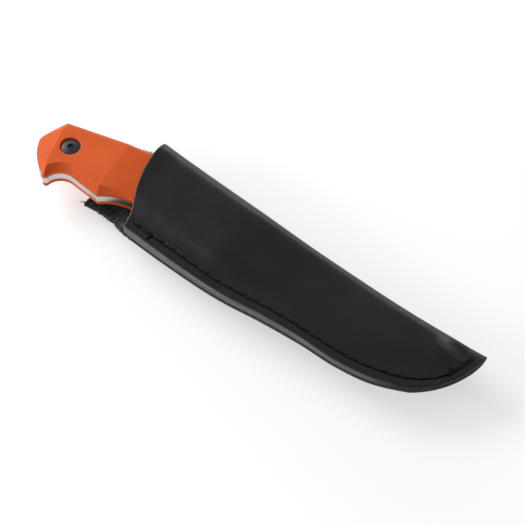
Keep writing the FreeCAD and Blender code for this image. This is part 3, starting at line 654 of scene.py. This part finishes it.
def front_thread_piece():
    verts, polys = seam_thread(1)
    for hole, steps, thicker in ((HOLES[2], TAIL, 1.15), (HOLES[-3], KNOT, 1.4)):
        top = max(float(welt_half(hole[0])), TOE_HALF) + LEATHER
        path = [(hole[0] + across, hole[1] + up, top + off) for across, up, off in steps]
        tube(path, THREAD_RADIUS * thicker, verts, polys)
    return add_mesh("seam_stitches_front", np.array(verts), polys)


def back_thread_piece():
    verts, polys = seam_thread(-1)
    return add_mesh("seam_stitches_back", np.array(verts), polys)


def loop_rows():
    """Both ends of every stitch of the belt loop."""
    runs = []
    first = LOOP_Y - LOOP_STITCHES * LOOP_PITCH / 2
    for end_x, sign in ((LOOP_REAR_X, 1), (LOOP_FRONT_X, -1)):
        for row in LOOP_ROWS:
            x = end_x + sign * row
            for i in range(LOOP_STITCHES):
                y = first + LOOP_PITCH * i
                runs.append(((x, y + 0.4), (x, y + LOOP_PITCH - 0.4)))
    return runs


def loop_thread_piece(outside):
    """The belt loop's stitches: runs on the strap when outside, else along the pouch's inner wall.

    The runs inside lie below the wall's surface, but their ends stand 0.5 mm proud of it."""
    if outside:
        name, surface, radius = "loop_stitches_outside", -LOOP_TOP + LEATHER - 0.12, THREAD_RADIUS
    else:
        name, surface, radius = "loop_stitches_inside", POUCH_HALF + 0.35, THREAD_RADIUS * 0.9
    verts = []
    polys = []
    for p, q in loop_rows():
        tube(stitch_path(p, q, surface, -1), radius, verts, polys)
    return add_mesh(name, np.array(verts), polys)


# ---- belt loop ------------------------------------------------------------------------------------

def strap_z(x):
    rear = LOOP_REAR_X + LOOP_PAD
    front = LOOP_FRONT_X - LOOP_PAD
    down = smooth((x - rear) / LOOP_RAMP) * smooth((front - x) / LOOP_RAMP)
    return LOOP_TOP - LOOP_GAP * down


def belt_loop_piece():
    xs = np.linspace(LOOP_REAR_X, LOOP_FRONT_X, 112)
    ys = np.linspace(LOOP_Y - LOOP_WIDTH / 2, LOOP_Y + LOOP_WIDTH / 2, 34)
    gx, gy = [a.ravel() for a in np.meshgrid(xs, ys, indexing="ij")]
    slope = np.gradient(strap_z(xs), xs)
    sx = np.interp(gx, xs, slope)
    size = np.sqrt(1 + sx * sx)
    base = strap_z(gx)
    dent = np.zeros_like(gx)
    for p, q in loop_rows():
        t = np.clip((gy - p[1]) / (q[1] - p[1]), 0.0, 1.0)
        d = np.hypot(gx - p[0], gy - (p[1] + t * (q[1] - p[1])))
        dent = np.maximum(dent, 0.25 * np.exp(-(d / 0.7) ** 2))
    inner = np.stack([gx, gy, base], 1)
    outer = np.stack([gx + LEATHER * sx / size, gy, base - LEATHER / size + dent], 1)
    faces = []
    for i in range(len(xs) - 1):
        for j in range(len(ys) - 1):
            a = i * len(ys) + j
            faces.append((a, a + 1, a + len(ys) + 1, a + len(ys)))
    zones = {"edge": (2, 0.35, 0.25)}
    return sheet_mesh("belt_loop_strap", outer, inner, faces, lambda a, b: "edge", zones, (0, 1))


# ---- loose fibres on the raw tongue -----------------------------------------------------------------

def fibre_piece():
    verts = []
    polys = []
    rng = np.random.default_rng(11)
    roots = []
    for _ in range(240):
        x = rng.uniform(TONGUE_X, -60.0)
        roots.append((x, float(seam_y(x)) + rng.uniform(-0.1, 0.2), (0.0, -1.0)))
    for _ in range(60):
        roots.append((TONGUE_X + rng.uniform(-0.1, 0.2), rng.uniform(TONGUE_LOW_Y, -12.0), (-1.0, 0.0)))
    for x, y, out in roots:
        top = -(1.8 + float(tongue_drop(x)) + LEATHER * rng.uniform(0.0, 1.0))
        length = rng.uniform(0.3, 1.0)
        lean = rng.uniform(-0.8, 0.8)
        dx = out[0] + (lean if out[0] == 0 else 0)
        dy = out[1] + (lean if out[1] == 0 else 0)
        size = math.hypot(dx, dy)
        rise = rng.uniform(-0.3, 0.5)
        points = [(x, y, top), (x + dx / size * length * 0.5, y + dy / size * length * 0.5, top + rise * 0.3),
                  (x + dx / size * length, y + dy / size * length, top + rise)]
        tube(points, 0.07, verts, polys, around=5, lobes=1, taper=True)
    wisp = [(TONGUE_X + 0.2, TONGUE_LOW_Y + 0.6, -7.1), (TONGUE_X - 0.7, TONGUE_LOW_Y - 0.2, -6.6),
            (TONGUE_X - 1.2, TONGUE_LOW_Y - 1.0, -6.7), (TONGUE_X - 1.9, TONGUE_LOW_Y - 1.1, -6.4)]
    tube(wisp, 0.16, verts, polys, around=6, taper=True)
    tube([(a + 0.1, b + 0.5, c + 0.3) for a, b, c in wisp], 0.12, verts, polys, around=6, taper=True)
    return add_mesh("tongue_fibres", np.array(verts), polys)


# ---- materials -----------------------------------------------------------------------------------------

class Nodes:
    """Small helper round one material's node tree."""

    def __init__(self, name):
        self.material = bpy.data.materials.new(name)
        self.material.use_nodes = True
        self.tree = self.material.node_tree
        self.bsdf = self.tree.nodes["Principled BSDF"]
        self.coords = self.tree.nodes.new("ShaderNodeTexCoord").outputs["Object"]

    def link(self, a, b):
        self.tree.links.new(a, b)

    def node(self, kind, inputs=None, **settings):
        n = self.tree.nodes.new(kind)
        for key, value in settings.items():
            setattr(n, key, value)
        for key, value in (inputs or {}).items():
            if hasattr(value, "is_output"):
                self.link(value, n.inputs[key])
            else:
                n.inputs[key].default_value = value
        return n

    def scaled(self, scale=(1, 1, 1), turn=(0, 0, 0)):
        inputs = {"Vector": self.coords, "Scale": scale, "Rotation": turn}
        return self.node("ShaderNodeMapping", inputs).outputs[0]

    def noise(self, scale, detail=4.0, rough=0.5, vector=None):
        return self.node("ShaderNodeTexNoise", {"Vector": vector or self.coords, "Scale": scale,
                                               "Detail": detail, "Roughness": rough}).outputs["Fac"]

    def ramp(self, value, stops):
        n = self.node("ShaderNodeValToRGB", {"Fac": value})
        elements = n.color_ramp.elements
        while len(elements) < len(stops):
            elements.new(0.5)
        for e, (at, colour) in zip(elements, stops):
            e.position = at
            e.color = (*colour, 1.0) if len(colour) == 3 else colour
        return n.outputs["Color"]

    def remap(self, value, low, high, to_low, to_high):
        return self.node("ShaderNodeMapRange", {"Value": value, "From Min": low, "From Max": high,
                                               "To Min": to_low, "To Max": to_high}).outputs[0]

    def maths(self, operation, a, b=0.0):
        return self.node("ShaderNodeMath", {0: a, 1: b}, operation=operation).outputs[0]

    def bump(self, height, strength, distance, normal=None):
        inputs = {"Height": height, "Strength": strength, "Distance": distance}
        if normal is not None:
            inputs["Normal"] = normal
        return self.node("ShaderNodeBump", inputs).outputs[0]

    def finish(self, **values):
        for key, value in values.items():
            socket = self.bsdf.inputs[key.replace("_", " ")]
            if hasattr(value, "is_output"):
                self.link(value, socket)
            else:
                socket.default_value = value
        return self.material


def grain_leather():
    m = Nodes("black_grain_leather")
    tone = m.noise(35.0, 5.0, 0.55)
    colour = m.ramp(tone, [(0.3, (0.0078, 0.0072, 0.0074)), (0.7, (0.0115, 0.0105, 0.0108))])
    spot_at = tuple(place([SCUFF_AND_HIGHLIGHT_AT])[0])
    offset = m.node("ShaderNodeVectorMath", {0: m.coords, 1: spot_at}, operation="SUBTRACT").outputs[0]
    spread = m.node("ShaderNodeMapping", {"Vector": offset, "Scale": (120.0, 330.0, 60.0),
                                          "Rotation": (0.0, 0.0, 0.25)}).outputs[0]
    reach = m.node("ShaderNodeVectorMath", {0: spread}, operation="LENGTH").outputs["Value"]
    streaks = m.noise(1500.0, 5.0, 0.7, m.scaled((0.25, 1.0, 1.0), (0, 0, 0.5)))
    # lighter colour over the knife's point: scuff streaks, and a painted highlight standing in for the shine
    # there
    scuff_and_highlight_mask = m.maths("MULTIPLY", m.remap(reach, 0.0, 1.0, 1.0, 0.0), m.remap(streaks, 0.35, 0.7, 0.35, 1.0))
    scuff_and_highlight = m.node("ShaderNodeMix", {"Factor": scuff_and_highlight_mask}, data_type="RGBA")
    m.link(colour, scuff_and_highlight.inputs["A"])
    scuff_and_highlight.inputs["B"].default_value = (0.085, 0.082, 0.092, 1.0)
    gloss = m.noise(60.0, 6.0, 0.6)
    rough = m.remap(gloss, 0.3, 0.7, 0.30, 0.38)
    cells = m.node("ShaderNodeTexVoronoi", {"Vector": m.coords, "Scale": 1900.0, "Randomness": 1.0},
                   feature="DISTANCE_TO_EDGE").outputs["Distance"]
    pores = m.noise(2600.0, 3.0, 0.6)
    folds = m.noise(420.0, 4.0, 0.55)
    n = m.bump(cells, 0.10, 0.00008)
    n = m.bump(pores, 0.14, 0.00006, n)
    n = m.bump(folds, 0.18, 0.00010, n)
    return m.finish(Base_Color=scuff_and_highlight.outputs["Result"], Roughness=rough, Normal=n, Specular_IOR_Level=0.34)


def flesh_leather():
    m = Nodes("flesh_side_leather")
    fibres = m.noise(900.0, 8.0, 0.75, m.scaled((1.0, 0.35, 1.0), (0, 0, 0.6)))
    patch = m.noise(220.0, 5.0, 0.6)
    mixed = m.maths("MULTIPLY", fibres, patch)
    colour = m.ramp(mixed, [(0.14, (0.006, 0.006, 0.0055)), (0.30, (0.022, 0.023, 0.020)),
                            (0.44, (0.085, 0.092, 0.082))])
    n = m.bump(fibres, 0.9, 0.0004)
    n = m.bump(patch, 0.6, 0.0005, n)
    return m.finish(Base_Color=colour, Roughness=0.92, Normal=n, Specular_IOR_Level=0.2)


def grey_edge():
    """Burnished edge, grey along the seam, darkened to black round the toe as painted shade."""
    m = Nodes("burnished_grey_edge")
    streak = m.noise(300.0, 6.0, 0.6, m.scaled((0.18, 0.35, 3.0)))
    colour = m.ramp(streak, [(0.25, (0.022, 0.022, 0.023)), (0.5, (0.070, 0.069, 0.071)),
                             (0.75, (0.14, 0.14, 0.142))])
    along = m.node("ShaderNodeSeparateXYZ", {"Vector": m.coords}).outputs["X"]
    start, end = place([(x, 0.0, 0.0) for x in TOE_SHADE_X])[:, 0]
    # painted shade: the edge colour is mixed to black towards the toe, where the edge faces away from the
    # light
    toe_shade = m.node("ShaderNodeMix", {"Factor": m.remap(along, start, end, 0.0, 1.0)}, data_type="RGBA")
    m.link(colour, toe_shade.inputs["A"])
    toe_shade.inputs["B"].default_value = (0.010, 0.010, 0.011, 1.0)
    n = m.bump(m.noise(700.0, 5.0, 0.6, m.scaled((0.4, 0.6, 2.0))), 0.35, 0.0002)
    gloss = m.remap(along, start, end, 0.4, 0.12)
    return m.finish(Base_Color=toe_shade.outputs["Result"], Roughness=0.5, Normal=n, Specular_IOR_Level=gloss)


def rough_edge():
    m = Nodes("raw_dark_edge")
    grit = m.noise(700.0, 8.0, 0.7)
    colour = m.ramp(grit, [(0.3, (0.010, 0.010, 0.0095)), (0.55, (0.034, 0.034, 0.031)),
                           (0.75, (0.10, 0.10, 0.093))])
    n = m.bump(grit, 0.9, 0.0004)
    return m.finish(Base_Color=colour, Roughness=0.85, Normal=n, Specular_IOR_Level=0.25)


def black_edge():
    m = Nodes("burnished_black_edge")
    streak = m.noise(500.0, 4.0, 0.5)
    colour = m.ramp(streak, [(0.3, (0.012, 0.014, 0.016)), (0.7, (0.03, 0.036, 0.04))])
    n = m.bump(streak, 0.3, 0.0001)
    return m.finish(Base_Color=colour, Roughness=0.28, Normal=n, Specular_IOR_Level=0.6)


def thread_material():
    m = Nodes("waxed_black_thread")
    tone = m.noise(1500.0, 4.0, 0.6)
    colour = m.ramp(tone, [(0.3, (0.0022, 0.0021, 0.0022)), (0.7, (0.0050, 0.0047, 0.0050))])
    n = m.bump(m.noise(5200.0, 3.0, 0.6), 0.4, 0.00008)
    return m.finish(Base_Color=colour, Roughness=0.6, Normal=n, Specular_IOR_Level=0.2)


def laminate():
    """Orange glass laminate: cutter lines across everything that slopes, fine weave on the flats."""
    m = Nodes("orange_glass_laminate")
    normal = m.node("ShaderNodeNewGeometry").outputs["Normal"]
    rounded = m.node("ShaderNodeBevel", {"Radius": 0.0007}, samples=8).outputs["Normal"]
    up = m.node("ShaderNodeSeparateXYZ", {"Vector": normal}).outputs["Z"]
    flat = m.maths("ABSOLUTE", up)
    slope = m.remap(flat, 0.94, 0.97, 1.0, 0.0)
    parts = m.node("ShaderNodeSeparateXYZ", {"Vector": m.coords}).outputs
    across = m.maths("ADD", m.maths("MULTIPLY", parts["X"], 0.636), m.maths("MULTIPLY", parts["Y"], 0.772))
    lines = m.maths("SINE", m.maths("MULTIPLY", across, 2 * math.pi / 0.00087))
    weave_x = m.maths("SINE", m.maths("MULTIPLY", parts["X"], 2 * math.pi / 0.0005))
    weave_y = m.maths("SINE", m.maths("MULTIPLY", parts["Y"], 2 * math.pi / 0.0005))
    weave = m.maths("MULTIPLY", weave_x, weave_y)
    grit = m.noise(1600.0, 5.0, 0.65)
    cloud = m.noise(70.0, 4.0, 0.5)
    colour = m.ramp(cloud, [(0.3, (0.62, 0.086, 0.011)), (0.7, (0.69, 0.104, 0.015))])
    lined = m.maths("MULTIPLY", m.remap(lines, -1.0, 1.0, 0.0, 1.0), slope)
    darker = m.node("ShaderNodeMix", {"Factor": m.maths("MULTIPLY", lined, 0.26)}, data_type="RGBA")
    m.link(colour, darker.inputs["A"])
    darker.inputs["B"].default_value = (0.36, 0.045, 0.012, 1.0)
    speck = m.node("ShaderNodeMix", {"Factor": m.remap(grit, 0.55, 0.8, 0.0, 0.18)}, data_type="RGBA")
    m.link(darker.outputs["Result"], speck.inputs["A"])
    speck.inputs["B"].default_value = (0.80, 0.22, 0.09, 1.0)
    n = m.bump(lined, 0.6, 0.00016, rounded)
    n = m.bump(m.maths("MULTIPLY", weave, m.maths("SUBTRACT", 1.0, slope)), 0.10, 0.00004, n)
    n = m.bump(grit, 0.22, 0.00006, n)
    return m.finish(Base_Color=speck.outputs["Result"], Roughness=0.62, Normal=n, Specular_IOR_Level=0.22)


def steel():
    m = Nodes("satin_steel")
    grind = m.noise(900.0, 3.0, 0.6, m.scaled((0.06, 0.06, 3.0)))
    hatch = m.noise(700.0, 4.0, 0.6, m.scaled((3.0, 0.05, 1.0)))
    both = m.maths("ADD", grind, hatch)
    rough = m.remap(both, 0.7, 1.3, 0.22, 0.36)
    colour = m.ramp(m.noise(40.0), [(0.3, (0.50, 0.50, 0.485)), (0.7, (0.58, 0.58, 0.56))])
    n = m.bump(both, 0.10, 0.00005)
    return m.finish(Base_Color=colour, Metallic=1.0, Roughness=rough, Normal=n)


def black_steel():
    m = Nodes("black_oxide_steel")
    spots = m.noise(900.0, 6.0, 0.7)
    colour = m.ramp(spots, [(0.35, (0.022, 0.019, 0.023)), (0.62, (0.045, 0.040, 0.047)),
                            (0.8, (0.12, 0.11, 0.12))])
    n = m.bump(spots, 0.35, 0.0001)
    rough = m.remap(spots, 0.3, 0.7, 0.34, 0.5)
    return m.finish(Base_Color=colour, Metallic=0.35, Roughness=rough, Normal=n)


def floor_material():
    m = Nodes("pale_floor")
    colour = m.ramp(m.noise(3.0), [(0.3, (0.60, 0.615, 0.62)), (0.7, (0.62, 0.635, 0.64))])
    return m.finish(Base_Color=colour, Roughness=0.9, Specular_IOR_Level=0.1,
                    Emission_Color=(1.0, 1.0, 1.0, 1.0), Emission_Strength=0.46)


# ---- pieces -----------------------------------------------------------------------------------------------

GRAIN = grain_leather()
FLESH = flesh_leather()
GREY = grey_edge()
RAW = rough_edge()
DARK = black_edge()
THREAD = thread_material()


def dress(piece, materials, slot, *replaced):
    for material in materials:
        piece.data.materials.append(material)
    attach(piece, "sheath")
    if replaced:
        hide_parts(*replaced)
    return piece


dress(leather_shell(), [GRAIN, FLESH, GREY, RAW, DARK], "black_leather", "sheath_leather")
dress(welt_piece(), [GREY], "grey_leather", "sheath_welt")
dress(belt_loop_piece(), [GRAIN, FLESH, DARK], "black_leather", "belt_loop")
dress(front_thread_piece(), [THREAD], "waxed_thread", "seam_thread_front")
dress(back_thread_piece(), [THREAD], "waxed_thread", "seam_thread_back")
dress(loop_thread_piece(True), [THREAD], "waxed_thread", "loop_thread_outside")
dress(loop_thread_piece(False), [THREAD], "waxed_thread", "loop_thread_inside")
dress(fibre_piece(), [FLESH], "black_leather")

FINISHES = {
    "handle_scale_front": laminate(),
    "knife_blade": steel(),
    "rear_handle_screw": black_steel(),
}
FINISHES["handle_scale_back"] = FINISHES["handle_scale_front"]
for screw in ("rear_barrel_nut", "front_handle_screw", "front_barrel_nut"):
    FINISHES[screw] = FINISHES["rear_handle_screw"]
for node, material in FINISHES.items():
    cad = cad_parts[node]
    cad.data.materials.clear()
    cad.data.materials.append(material)

# ---- floor, light, camera --------------------------------------------------------------------------------

bpy.ops.mesh.primitive_plane_add(size=6.0, location=(0, 0, FLOOR_Z))
floor = bpy.context.object
floor.name = "floor"
floor.data.materials.append(floor_material())

LOOK = Vector(place([(0.0, 0.0, 0.0)])[0])


def aim(thing, azimuth, elevation, distance):
    """Puts a lamp or the camera in the scene, looking at LOOK from there; angles in degrees."""
    a = math.radians(azimuth)
    e = math.radians(elevation)
    out = Vector((math.sin(a) * math.cos(e), -math.cos(a) * math.cos(e), math.sin(e)))
    thing.location = LOOK + out * distance
    thing.rotation_euler = (-out).to_track_quat("-Z", "Y").to_euler()
    bpy.context.scene.collection.objects.link(thing)


def area_light(name, azimuth, elevation, distance, size, watts):
    data = bpy.data.lights.new(name, "AREA")
    data.shape = "RECTANGLE"
    data.size, data.size_y = size
    data.energy = watts
    aim(bpy.data.objects.new(name, data), azimuth, elevation, distance)


area_light("key", VIEW_AZIMUTH - 128, 34, 1.5, (0.9, 0.6), 14)
area_light("left_fill", VIEW_AZIMUTH - 82, 22, 1.6, (1.0, 0.5), 11)
area_light("rim", VIEW_AZIMUTH + 180, 17, 1.6, (1.8, 0.3), 7)

world = bpy.data.worlds.new("studio")
world.use_nodes = True
background = world.node_tree.nodes["Background"]
background.inputs["Color"].default_value = (1, 1, 1, 1)
background.inputs["Strength"].default_value = 0.38
bpy.context.scene.world = world

camera_data = bpy.data.cameras.new("camera")
camera_data.sensor_width = 36.0
camera_data.lens = LENS
camera_data.clip_start = 0.01
camera_data.clip_end = 20.0
camera = bpy.data.objects.new("camera", camera_data)
aim(camera, VIEW_AZIMUTH, VIEW_ELEVATION, CAMERA_DISTANCE)
bpy.context.scene.camera = camera
bpy.context.scene.view_settings.view_transform = "Standard"
bpy.context.scene.view_settings.look = "None"
